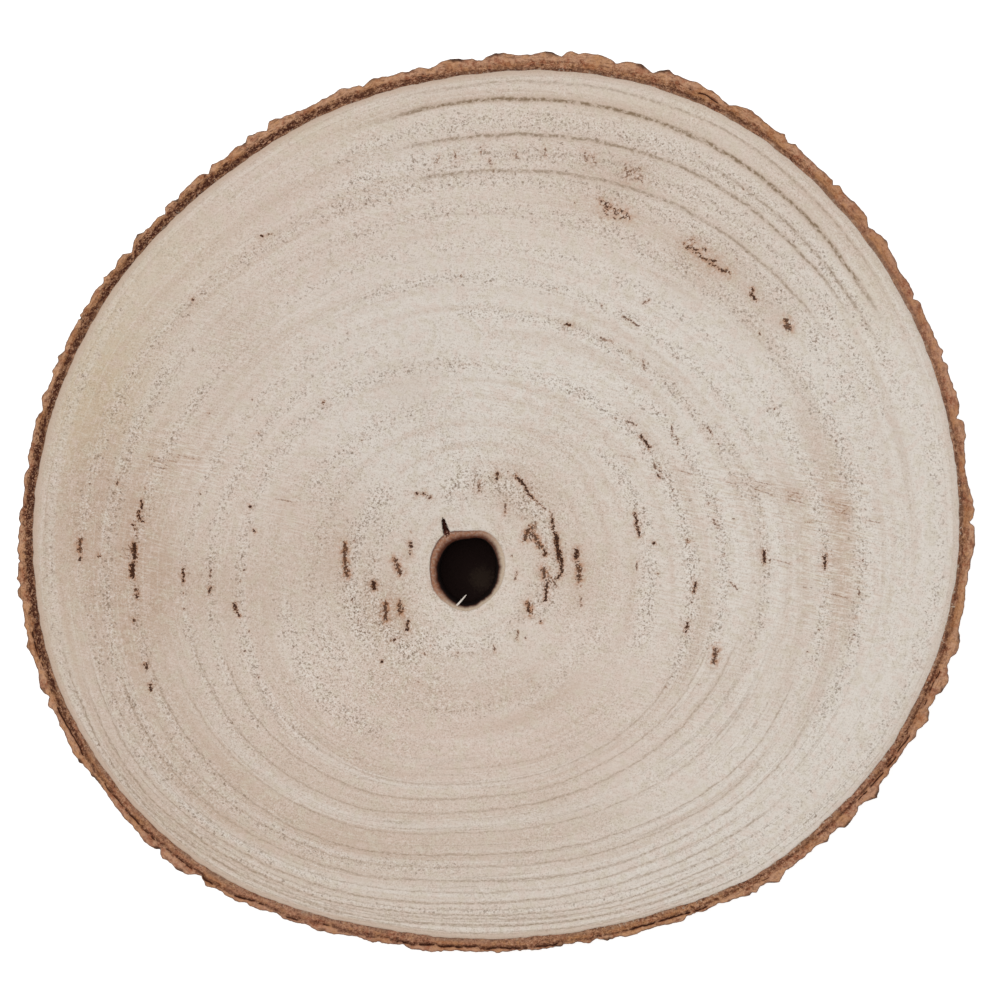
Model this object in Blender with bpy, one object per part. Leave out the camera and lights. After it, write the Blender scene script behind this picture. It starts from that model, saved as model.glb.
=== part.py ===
"""A slice sawn across a hollow-pithed log, with its bark on: one solid, lying flat on its underside.

+X and +Y are the right and the top of the slice as seen from above, and +Z is up, along the trunk.
The origin is at the underside, under the middle of the slice. Angles run anticlockwise from +X, about the pith.
"""

import math

import bpy

MM = 0.001

# Size of the slice, in millimetres
THICKNESS = 25.0
PITH_X = -8.7
PITH_Y = -22.15

# Distance from the pith to the crests of the bark, one value every 15 degrees
BARK_CRESTS = (
    158.4, 163.2, 166.9, 169.2, 170.1, 168.2, 162.2, 157.4,
    151.8, 148.1, 145.5, 143.4, 141.6, 138.9, 134.9, 130.8,
    124.9, 120.7, 119.7, 121.8, 128.7, 138.2, 146.3, 153.1,
)

# Distance from the pith to the rim of the hollow and to its throat, one value every 30 degrees
RIM_RADII = (12.0, 13.2, 14.2, 13.1, 13.9, 12.8, 11.8, 12.1, 12.1, 12.4, 11.5, 11.4)
THROAT_RADII = (9.8, 10.7, 11.8, 10.7, 10.6, 9.8, 9.4, 9.5, 10.1, 10.8, 10.1, 9.8)

# The hollow is closed inside by a thin plate of dry pith, with a shallow recess left under it
RIM_DEPTH = 3.0
HOLLOW_DEPTH = 19.0
RECESS_DEPTH = 3.5
RECESS_MOUTH_SHARE = 0.94
RECESS_END_SHARE = 0.80
THROAT_END_SHARE = 0.92

# The drying crack that opens the rim at its upper left
CRACK_ANGLE = 117.0
CRACK_HALF_ANGLE = 2.0
CRACK_TIP_RADIUS = 18.9

# Bark relief: furrows run up the trunk, and each is cut in from the crests
FURROW_DEPTH = 1.9
PLATE_TILT = 0.5
FURROWS_ROUND = (67, 41, 103)
FURROW_WEIGHTS = (0.45, 0.35, 0.20)
FURROW_WANDER = (1.3, -0.9, 2.1)

ANGLE_STEPS = 240
BARK_LEVELS = (0.0, 3.0, 8.0, 13.0, 18.0, 22.0, THICKNESS)

WOOD_COLOUR = (0.68, 0.60, 0.51, 1.0)
WOOD_ROUGHNESS = 0.85
SMOOTH_BELOW = math.radians(35.0)


def round_value(values, degrees):
    """A smooth closed curve through values spaced evenly round the circle (Catmull-Rom)."""
    place = (degrees % 360.0) / 360.0 * len(values)
    first = int(place)
    t = place - first
    before, start, end, after = (values[(first + k) % len(values)] for k in (-1, 0, 1, 2))
    return start + 0.5 * t * (
        end - before + t * (2 * before - 5 * start + 4 * end - after + t * (3 * (start - end) + after - before))
    )


def furrow(degrees, height):
    """How far the bark is cut in, from 0 on a crest to 1 in the deepest furrow."""
    turn = math.radians(degrees)
    climb = height / THICKNESS
    waves = (
        weight * math.cos(count * turn + wander * climb + 2.0 * math.sin(5.0 * turn + count))
        for count, weight, wander in zip(FURROWS_ROUND, FURROW_WEIGHTS, FURROW_WANDER)
    )
    return 0.5 - 0.5 * sum(waves)


def bark_radius(degrees, height):
    """The bark's outer face: its crests, less the furrows and the slight lean of each plate."""
    lean = PLATE_TILT * math.sin(math.radians(degrees) * 23.0 + 5.0 * height / THICKNESS)
    return round_value(BARK_CRESTS, degrees) - FURROW_DEPTH * furrow(degrees, height) + lean - PLATE_TILT


def crack_share(degrees):
    """1 at the crack's middle, falling to 0 at its sides."""
    away = abs((degrees - CRACK_ANGLE + 180.0) % 360.0 - 180.0)
    return max(0.0, 1.0 - away / CRACK_HALF_ANGLE)


def rim_radius(degrees):
    """The mouth of the hollow at the top face, with the crack let into it."""
    rim = round_value(RIM_RADII, degrees)
    return rim + (CRACK_TIP_RADIUS - rim) * crack_share(degrees)


def throat_radius(degrees, share=1.0):
    """The hollow below its rim, drawn in by the given share."""
    return round_value(THROAT_RADII, degrees) * share


def loops():
    """Closed loops of (radius function, height), from the middle of the recess, round the outside, to the plate."""
    under = [
        (lambda a: throat_radius(a, RECESS_END_SHARE), RECESS_DEPTH),
        (lambda a: throat_radius(a, RECESS_MOUTH_SHARE), 0.0),
    ]
    outside = [(lambda a, z=z: bark_radius(a, z), z) for z in BARK_LEVELS]
    inside = [
        (rim_radius, THICKNESS),
        (lambda a: throat_radius(a), THICKNESS - RIM_DEPTH),
        (lambda a: throat_radius(a, THROAT_END_SHARE), THICKNESS - HOLLOW_DEPTH),
    ]
    return under + outside + inside


def slice_mesh():
    """The loops joined into one closed skin, with a fan of faces on each side of the pith plate."""
    points = []
    faces = []
    rows = loops()
    for radius_at, height in rows:
        for step in range(ANGLE_STEPS):
            degrees = 360.0 * step / ANGLE_STEPS
            radius = radius_at(degrees)
            x = PITH_X + radius * math.cos(math.radians(degrees))
            y = PITH_Y + radius * math.sin(math.radians(degrees))
            points.append((x * MM, y * MM, height * MM))
    for row in range(len(rows) - 1):
        for step in range(ANGLE_STEPS):
            after = (step + 1) % ANGLE_STEPS
            low, high = row * ANGLE_STEPS, (row + 1) * ANGLE_STEPS
            faces.append((low + step, low + after, high + after, high + step))
    recess_middle = len(points)
    points.append((PITH_X * MM, PITH_Y * MM, RECESS_DEPTH * MM))
    plate_middle = len(points)
    points.append((PITH_X * MM, PITH_Y * MM, (THICKNESS - HOLLOW_DEPTH) * MM))
    last = (len(rows) - 1) * ANGLE_STEPS
    for step in range(ANGLE_STEPS):
        after = (step + 1) % ANGLE_STEPS
        faces.append((recess_middle, after, step))
        faces.append((plate_middle, last + step, last + after))
    mesh = bpy.data.meshes.new("wood_slice")
    mesh.from_pydata(points, [], faces)
    mesh.validate()
    mesh.shade_smooth()
    mesh.set_sharp_from_angle(angle=SMOOTH_BELOW)
    return mesh


def wood_material():
    material = bpy.data.materials.new("wood")
    material.use_nodes = True
    shader = material.node_tree.nodes["Principled BSDF"]
    shader.inputs["Base Color"].default_value = WOOD_COLOUR
    shader.inputs["Roughness"].default_value = WOOD_ROUGHNESS
    shader.inputs["Metallic"].default_value = 0.0
    return material


for old in list(bpy.data.objects):
    bpy.data.objects.remove(old)
wood_slice = bpy.data.objects.new("wood_slice", slice_mesh())
wood_slice.data.materials.append(wood_material())
bpy.context.scene.collection.objects.link(wood_slice)
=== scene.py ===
import math

import bpy
import numpy as np
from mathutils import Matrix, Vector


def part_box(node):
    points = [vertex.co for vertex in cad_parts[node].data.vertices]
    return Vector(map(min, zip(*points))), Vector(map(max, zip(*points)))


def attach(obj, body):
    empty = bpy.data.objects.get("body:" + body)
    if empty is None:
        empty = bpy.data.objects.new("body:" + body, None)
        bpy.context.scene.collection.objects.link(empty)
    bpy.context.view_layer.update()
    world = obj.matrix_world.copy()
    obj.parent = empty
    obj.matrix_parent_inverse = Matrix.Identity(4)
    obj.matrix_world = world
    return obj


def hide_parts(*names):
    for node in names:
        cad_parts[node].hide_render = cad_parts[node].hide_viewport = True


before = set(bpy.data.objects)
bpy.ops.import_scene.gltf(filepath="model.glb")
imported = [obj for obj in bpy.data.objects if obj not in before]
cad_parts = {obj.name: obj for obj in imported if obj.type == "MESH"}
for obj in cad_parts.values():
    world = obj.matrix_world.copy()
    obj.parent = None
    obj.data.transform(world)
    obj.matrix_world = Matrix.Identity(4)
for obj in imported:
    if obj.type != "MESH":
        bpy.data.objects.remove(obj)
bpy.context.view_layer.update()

# A slice sawn across a log. The wood and its bark are two closed surfaces, each a function of the turn round
# the pith and of a profile carried round it. Sizes are in millimetres, and turns in degrees, anticlockwise
# from the photo's right.

mm = 0.001
sliceLow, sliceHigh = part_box("wood_slice")
topHeight = (sliceHigh[2] - sliceLow[2]) / mm

# Where the photo shows the pith, and how much wood one of its pixels covers
photo = {
    "pithPixel": (467, 572),
    "middlePixel": (500, 500),
    "pixelSize": 0.315,
    "pixelsWide": 1000,
}
pith = (-8.7, -22.15)


def fromPhoto(x, y):
    # a photo pixel as (right of the pith, up from the pith)
    pithX, pithY = photo["pithPixel"]
    return (x - pithX) * photo["pixelSize"], (pithY - y) * photo["pixelSize"]


def smooth(low, high, value):
    # 0 below low, 1 above high, and 3t^2 - 2t^3 between them
    t = np.clip((value - low) / (high - low), 0, 1)
    return t * t * (3 - 2 * t)


def roundCurve(values, turn):
    # a closed Catmull-Rom curve through values spaced evenly round the circle, read at turn degrees
    values = np.asarray(values, float)
    place = (turn % 360) / 360 * len(values)
    first = np.floor(place).astype(int)
    t = place - first
    before, start, end, after = (values[(first + k) % len(values)] for k in (-1, 0, 1, 2))
    square = 2 * before - 5 * start + 4 * end - after
    cube = 3 * (start - end) + after - before
    return start + 0.5 * t * (end - before + t * (square + t * cube))


def chance(cells, seed):
    # an even random value from 0 to 1 for each whole-number cell, from mixing the bits of its numbers
    bits = cells[..., 0] * 374761393 + cells[..., 1] * 668265263 + cells[..., 2] * 362437 + seed * 974634777
    bits = bits & 0xFFFFFFFF
    bits = ((bits ^ (bits >> 13)) * 1274126177) & 0xFFFFFFFF
    return (bits ^ (bits >> 16)) / 0xFFFFFFFF


def lumps(places, seed):
    # smooth noise from -1 to 1: chance values at whole-number corners, blended by 3t^2 - 2t^3
    cell = np.floor(places).astype(np.int64)
    t = places - cell
    t = t * t * (3 - 2 * t)
    total = np.zeros(places.shape[:-1])
    for corner in np.ndindex(2, 2, 2):
        share = np.prod(np.where(np.array(corner) == 1, t, 1 - t), axis=-1)
        total += share * (2 * chance(cell + np.array(corner), seed) - 1)
    return total


def lumpsAt(x, y, z, size, seed):
    # lumps of about the given size
    return lumps(np.stack(np.broadcast_arrays(x, y, z), -1) / size, seed)


def closedSkin(name, x, y, z, poles=None, joinRows=False):
    # rows of points round the pith, joined into quads. Places are from the pith. poles closes both ends with
    # fans, and joinRows joins the last row to the first
    rows, steps = x.shape
    points = np.stack([x, y, z], -1).reshape(-1, 3)
    row = np.arange(rows if joinRows else rows - 1)[:, None]
    step = np.arange(steps)[None, :]
    low, high = row * steps, (row + 1) % rows * steps
    after = (step + 1) % steps
    quads = np.stack([low + step, low + after, high + after, high + step], -1).reshape(-1, 4)
    faces = quads.tolist()
    if poles is not None:
        first = len(points)
        points = np.vstack([points, poles])
        ring = np.arange(steps)
        turned = (ring + 1) % steps
        last = (rows - 1) * steps
        faces += np.stack([np.full(steps, first), turned, ring], -1).tolist()
        faces += np.stack([np.full(steps, first + 1), last + ring, last + turned], -1).tolist()
    mesh = bpy.data.meshes.new(name)
    mesh.from_pydata(((points + (*pith, 0)) * mm).tolist(), [], faces)
    mesh.shade_smooth()
    piece = bpy.data.objects.new(name, mesh)
    bpy.context.scene.collection.objects.link(piece)
    return piece


def paint(piece, name, values, poleValues=None):
    # one value or one vector at every point of the mesh, for the material to read
    values = np.asarray(values, np.float32)
    wide = values.ndim == 3
    flat = values.reshape(-1, 3) if wide else values.reshape(-1)
    if poleValues is not None:
        flat = np.concatenate([flat, np.asarray(poleValues, np.float32)])
    kind, key = ("FLOAT_VECTOR", "vector") if wide else ("FLOAT", "value")
    layer = piece.data.attributes.new(name, kind, "POINT")
    layer.data.foreach_set(key, flat.ravel())


# Growth

growth = {
    # distance from the pith to the wood's edge, every 15 degrees
    "edge": (
        154.2, 158.2, 161.6, 164.1, 165.1, 162.1, 156.6, 151.5, 146.2, 143.0, 140.8, 139.0,
        136.4, 133.9, 129.4, 124.9, 119.3, 115.6, 115.6, 117.7, 123.1, 132.6, 139.4, 147.8,
    ),
    # where that edge strays from a smooth curve: degrees, mm outward
    "strays": (
        (0, 0), (97, 0), (105, 0.35), (113, 0.5), (118, 0.6), (126, 0.75), (135, 0.75), (146, 0.75),
        (150, 0.4), (157, 0.35), (163, 0), (200, 0), (206, 0.15), (211, 0.35), (224, 0.3), (230, 0.7),
        (236, 0.9), (241, 0.6), (246, 0.55), (251, 0.3), (258, 0), (281, 0), (286, 0.35), (295, 0.45),
        (302, 0.4), (307, 0.1), (320, 0), (327, 0.2), (330, 0.8), (338, 0.7), (341, 0.15), (346, 0),
    ),
    # the mouth of the hollow, then growth rings that can be followed right round, every 30 degrees
    "mouth": (12.0, 13.2, 14.2, 13.1, 13.9, 12.8, 11.8, 12.1, 12.1, 12.4, 11.5, 11.4),
    "rings": (
        (33.1, 35.3, 37.2, 35.3, 32.8, 32.1, 33.4, 34.3, 34.0, 31.8, 30.6, 30.9),
        (69.9, 68.0, 65.5, 64.3, 67.7, 69.9, 70.9, 73.7, 71.5, 66.8, 68.7, 72.1),
        (89.8, 87.6, 83.8, 81.3, 82.5, 85.1, 88.8, 88.2, 82.8, 75.6, 77.8, 84.4),
        (108.7, 104.6, 100.5, 99.9, 98.6, 99.9, 104.0, 102.4, 96.1, 89.1, 95.1, 106.8),
        (121.0, 118.4, 115.0, 112.8, 110.9, 112.5, 113.4, 112.8, 104.0, 97.3, 104.0, 115.9),
        (134.8, 135.5, 132.3, 125.4, 120.6, 122.2, 121.6, 120.0, 110.3, 104.3, 110.3, 124.7),
        (141.8, 144.6, 144.0, 136.4, 129.8, 129.2, 126.0, 123.5, 114.0, 108.0, 115.9, 131.7),
        (148.1, 152.5, 154.7, 148.1, 138.0, 134.8, 130.4, 126.6, 116.9, 111.2, 119.7, 135.5),
    ),
    # the ring numbers that those curves are given: about their mean distance from the pith
    "levels": (12.5, 33.0, 69.0, 84.0, 100.0, 111.5, 122.0, 129.0, 135.0, 140.5),
}
mouthLevel, edgeLevel = growth["levels"][0], growth["levels"][-1]


def edgeStrays(turn):
    points = np.array(growth["strays"], float)
    return np.interp(turn, points[:, 0], points[:, 1], period=360)


def growthCurves(turn):
    # every ring's distance from the pith at each turn, from the hollow's mouth to the wood's edge
    return np.stack([
        roundCurve(growth["mouth"], turn),
        *(roundCurve(ring, turn) for ring in growth["rings"]),
        roundCurve(growth["edge"], turn) + edgeStrays(turn),
    ])


def ringSpread(level, curves):
    # how far apart two rings one number apart lie, at every point: the slope between the two nearest curves
    levels = np.array(growth["levels"])
    lower = np.clip(np.searchsorted(levels, level, side="right") - 1, 0, len(levels) - 2)
    column = np.arange(curves.shape[1])[None, :]
    return (curves[lower + 1, column] - curves[lower, column]) / (levels[lower + 1] - levels[lower])


def ringRadius(level, curves):
    # distance from the pith of the ring with that number, between the two nearest curves
    levels = np.array(growth["levels"])
    lower = np.clip(np.searchsorted(levels, level, side="right") - 1, 0, len(levels) - 2)
    share = ((level - levels[lower]) / (levels[lower + 1] - levels[lower]))[:, None]
    return curves[lower] * (1 - share) + curves[lower + 1] * share


# Wood

wood = {
    "steps": 560,
    "innerRows": 52,          # top face, hollow's mouth to innerLevel
    "outerRows": 84,          # top face, innerLevel to the edge
    "innerLevel": 44.0,
    "undersideRows": 18,
    "edgeRounding": 0.25,
    "sawWave": 0.05,          # height of the face's slow waves
    "fuzz": 0.05,             # height of its fine roughness
    "mouthRagged": 0.1,
    "edgeTorn": 0.22,         # how far its edge under the bark wanders
    "throat": (9.8, 10.7, 11.8, 10.7, 10.6, 9.8, 9.4, 9.5, 10.1, 10.8, 10.1, 9.8),
    "hollowDepth": 19.0,
    # rows down the hollow's wall, in mm below the face, and in over the pith plate, in throats
    "wallDrops": (0.35, 0.8, 1.4, 2.1, 3.0, 4.5, 6.5, 9.0, 12.0, 15.5, 18.3),
    "plateRows": (0.6, 0.3),
    "recessDepth": 3.5,
    "recessMouth": 0.94,      # its radius, in throats
    # rows of the recess from its middle out: radius in throats, height in recess depths, and how deep inside
    # the hollow they look, which sets how dark the material paints their shade
    "recessRows": ((0.3, 1.0, 8.0), (0.6, 1.0, 8.0), (0.78, 1.0, 6.0), (0.8, 0.86, 4.0), (0.86, 0.3, 1.5)),
    "ringRelief": 0.03,
    "gapDepth": 0.7,
    "crackTurn": 117.6,
    "crackLean": -3.2,        # degrees that the crack turns by, from mouth to tip
    "crackTip": 18.4,
    "crackHalfWidth": 1.15,
    "crackDepth": 2.4,
}

# The dark gaps in the wood, read off the photo: runs of pixels, each with its half width, its darkness,
# how much it breaks up into dots, and how brown the wood is about it
gaps = {
    "solid": {
        "halfWidth": 0.72, "dark": 1.0, "dotted": 0.75, "stain": 0.7,
        "runs": (
            ((134, 544), (135, 557)), ((132, 565), (132, 576)),
            ((556, 535), (557, 545), (559, 554), (561, 561)), ((374, 583), (374, 588)),
            ((577, 551), (576, 557)),
        ),
    },
    "clear": {
        "halfWidth": 0.42, "dark": 0.95, "dotted": 0.7, "stain": 0.4,
        "runs": (
            ((497, 474), (497, 478)), ((515, 476), (520, 480)),
            ((520, 480), (525, 486), (528, 494), (533, 498)), ((552, 519), (553, 529)),
            ((561, 561), (562, 571), (558, 578)), ((545, 552), (545, 555)),
            ((547, 583), (546, 593), (545, 600)), ((528, 609), (529, 612)), ((541, 622),),
            ((408, 621), (407, 630)), ((417, 494),), ((424, 494),), ((430, 498),), ((411, 543), (411, 547)),
            ((410, 554),), ((386, 609), (386, 616)), ((382, 662),), ((394, 640),), ((400, 571), (400, 574)),
            ((753, 288), (751, 295), (756, 300)), ((641, 436), (649, 447)),
            ((635, 514), (637, 526), (640, 536)), ((654, 543),), ((659, 476),), ((688, 541),),
            ((696, 583), (694, 592)), ((688, 624), (686, 632)), ((764, 551), (764, 562)),
            ((825, 555), (825, 568)), ((715, 655), (715, 659)), ((141, 502), (142, 505)),
            ((139, 512), (138, 516)), ((142, 521),), ((133, 525),), ((136, 590), (137, 597)), ((134, 620),),
            ((183, 570), (183, 581)), ((210, 588), (209, 592)), ((234, 604), (235, 610)), ((239, 615),),
            ((250, 507),), ((254, 531),), ((117, 483),), ((99, 556),), ((80, 560),), ((193, 300),),
            ((324, 403),), ((145, 664), (146, 668)), ((150, 685), (151, 690)), ((262, 236),),
            ((566, 324), (570, 325)),
        ),
    },
    "scattered": {
        "halfWidth": 0.24, "dark": 0.85, "dotted": 0.7, "stain": 0.55,
        "runs": (
            ((601, 201), (603, 206)), ((608, 203), (609, 209)), ((615, 209), (616, 214)),
            ((622, 211), (622, 217)), ((627, 212), (630, 219)), ((604, 213),), ((612, 217),),
            ((684, 244), (686, 248)), ((691, 246), (693, 251)), ((698, 251), (700, 256)),
            ((704, 257), (706, 262)), ((710, 263), (712, 268)), ((718, 267), (721, 271)),
            ((727, 270), (730, 274)), ((694, 241),), ((706, 250),), ((716, 260),),
        ),
    },
    "faint": {
        "halfWidth": 0.2, "dark": 0.6, "dotted": 0.5, "stain": 0.12,
        "runs": (
            ((508, 472),), ((536, 501), (545, 509)), ((551, 578), (557, 587)), ((581, 586),),
            ((581, 597), (581, 606)), ((512, 556),), ((517, 573), (515, 579)), ((518, 631), (517, 640)),
            ((526, 638),), ((494, 646), (495, 653)), ((479, 482), (479, 490)), ((505, 504), (505, 515)),
            ((522, 518),), ((411, 532),), ((400, 600), (400, 615)), ((383, 624),), ((430, 646),),
            ((424, 654),), ((458, 653),), ((375, 561),), ((354, 541),), ((352, 600),), ((359, 621),),
            ((333, 669),), ((418, 682),), ((461, 276),), ((362, 440),), ((271, 234),), ((575, 203),),
            ((692, 208),), ((737, 259),), ((743, 188),), ((760, 334),), ((786, 329),), ((557, 289),),
            ((602, 305),), ((623, 316), (638, 326)), ((601, 338), (613, 342)), ((630, 351),),
            ((643, 361), (644, 369)), ((616, 418),), ((627, 421), (636, 425)), ((654, 463), (655, 469)),
            ((661, 468),), ((673, 490),), ((637, 562), (637, 569)), ((658, 574),), ((672, 426), (672, 436)),
            ((678, 440), (678, 446)), ((686, 457),), ((708, 428), (712, 434)), ((719, 444),), ((709, 503),),
            ((714, 520), (715, 524)), ((719, 527),), ((692, 602),), ((724, 555),), ((730, 582), (737, 589)),
            ((734, 519),), ((774, 409),), ((836, 441),), ((851, 463),), ((835, 402),),
            ((859, 590), (859, 594)), ((856, 617),), ((854, 635),), ((819, 630),), ((808, 652),),
            ((863, 560),), ((700, 685),), ((666, 687),), ((532, 681),), ((861, 746),), ((252, 400),),
            ((209, 413),), ((258, 433),), ((89, 484),), ((145, 488),), ((137, 533),),
            ((80, 540), (80, 550)), ((200, 494),), ((184, 593),), ((184, 609),), ((211, 569), (210, 578)),
            ((244, 570),), ((240, 581),), ((249, 631),), ((245, 651),), ((259, 677),), ((699, 156),),
            ((650, 300), (643, 303)),
        ),
    },
    "brown": {
        "halfWidth": 0.6, "dark": 0.75, "dotted": 1.2, "stain": 1.0,
        "runs": (
            ((531, 527), (527, 533), (525, 539)), ((533, 535), (541, 547)), ((544, 570), (545, 577)),
            ((579, 566), (579, 580)), ((386, 604), (386, 618)), ((400, 605), (401, 612)),
            ((528, 604), (530, 612)), ((786, 320), (790, 328)), ((80, 541), (80, 550)),
            ((345, 545), (347, 575)), ((395, 560), (400, 572)), ((716, 650), (714, 662)),
        ),
    },
    "tufts": {
        "halfWidth": 0.16, "dark": 0.4, "dotted": 1.0, "stain": 0.3,
        "runs": (
            ((438, 156), (438, 162)), ((455, 153), (456, 158)), ((480, 148), (481, 154)),
            ((490, 160), (491, 166)), ((516, 151), (516, 158)), ((545, 148), (546, 155)),
            ((585, 152), (586, 162)), ((593, 156), (594, 162)), ((626, 165), (627, 180)),
            ((634, 170), (635, 178)), ((641, 168), (642, 182)), ((552, 515), (553, 524)),
            ((536, 522), (534, 530)), ((480, 481), (479, 490)), ((505, 503), (505, 514)),
        ),
    },
    "sawCuts": {
        "halfWidth": 0.1, "dark": 0.2, "dotted": 0.1, "stain": 0.15,
        "runs": (
            ((680, 471), (692, 474)), ((726, 482), (736, 484)), ((753, 481), (771, 485)),
            ((755, 489), (772, 495)), ((788, 492), (802, 494)), ((788, 499), (803, 503)),
            ((822, 500), (847, 506)), ((836, 512), (850, 515)), ((831, 594), (850, 599)),
            ((804, 587), (814, 588)), ((622, 456), (635, 459)), ((772, 559), (790, 564)),
            ((805, 522), (812, 523)), ((866, 520), (880, 523)), ((148, 456), (176, 462)),
            ((150, 466), (166, 469)), ((178, 455), (200, 460)), ((276, 499), (292, 502)),
            ((122, 548), (130, 550)), ((120, 556), (131, 559)),
        ),
    },
}

# Rows of vessels along the rings: ring number, from and to in degrees, half width, how many are open
vesselRows = (
    (69.5, -22, 62, 1.8, 0.8), (69.5, 62, 222, 1.8, 0.5), (77.4, -12, 42, 1.7, 0.7),
    (77.4, 118, 212, 1.6, 0.5), (84.5, 22, 85, 1.6, 0.65), (84.5, 122, 215, 1.5, 0.45),
    (87.8, -10, 24, 1.5, 0.6), (94.0, 28, 104, 1.5, 0.6), (101.0, 145, 218, 1.8, 0.6),
    (104.2, -12, 24, 1.7, 0.6), (103.0, 24, 120, 1.4, 0.35), (114.2, -18, 28, 2.1, 0.65),
    (112.0, 150, 212, 2.8, 0.65), (122.0, 85, 175, 2.2, 0.5), (36.5, 140, 212, 3.2, 0.75),
    (30.0, 150, 235, 2.6, 0.65), (26.0, -30, 100, 3.6, 0.7), (57.0, -18, 38, 2.6, 0.7),
    (55.0, 105, 150, 3.2, 0.35), (56.0, 195, 236, 2.8, 0.5), (47.0, 145, 215, 3.5, 0.35),
    (136.0, 150, 215, 1.6, 0.35), (120.0, 26, 108, 1.6, 0.55), (125.5, 28, 104, 2.0, 0.5),
    (131.5, 28, 100, 1.6, 0.6), (112.5, 30, 110, 2.2, 0.4), (127.0, 225, 330, 1.5, 0.35),
    (135.0, -45, 15, 2.0, 0.4), (106.0, 215, 262, 2.6, 0.4), (119.0, 190, 240, 2.4, 0.4),
    (45.0, 245, 330, 2.4, 0.3), (24.0, 235, 320, 3.0, 0.35),
)

# Thin dark lines on the rings: ring number, from and to in degrees, half width in mm, darkness
ringLines = (
    (122.3, 41, 92, 0.45, 0.6), (126.0, 43, 88, 0.35, 0.2), (129.3, 41, 92, 0.5, 0.75),
    (131.6, 36, 54, 0.45, 0.6), (135.1, 39, 94, 0.62, 1.0), (138.3, 42, 92, 0.38, 0.42),
    (69.0, 225, 330, 0.26, 0.35), (76.5, 205, 335, 0.26, 0.4), (84.0, 200, 340, 0.28, 0.45),
    (91.8, 205, 330, 0.26, 0.4), (100.0, 200, 335, 0.28, 0.5), (105.5, 210, 320, 0.24, 0.4),
    (111.5, 202, 330, 0.28, 0.5), (117.0, 208, 312, 0.22, 0.35), (122.3, 200, 318, 0.28, 0.55),
    (126.0, 215, 308, 0.22, 0.4), (129.3, 202, 310, 0.28, 0.6), (131.6, 210, 303, 0.22, 0.4),
    (135.1, 196, 306, 0.28, 0.6), (138.3, 210, 308, 0.22, 0.4), (100.0, 20, 150, 0.2, 0.15),
    (93.5, 0, 120, 0.2, 0.12), (111.5, 30, 160, 0.2, 0.15),
)

# Pale rings on the low side: ring number, from and to in degrees, half width, amount
paleRings = (
    (69.8, 230, 320, 2.2, 0.5), (88.5, 215, 320, 2.4, 0.7), (104.0, 220, 300, 2.0, 0.35),
    (118.0, 215, 330, 2.6, 0.7), (131.0, 220, 300, 1.2, 0.4), (136.8, 215, 300, 1.2, 0.4),
)

# Tan stretches between the vessel rows: ring number, from and to in degrees, half width, amount
tanRings = (
    (108.9, -22, 20, 3.0, 0.55), (97.6, -20, 14, 2.2, 0.4), (86.4, -22, 18, 2.0, 0.35),
    (73.5, -25, 20, 2.0, 0.3),
)

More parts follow.
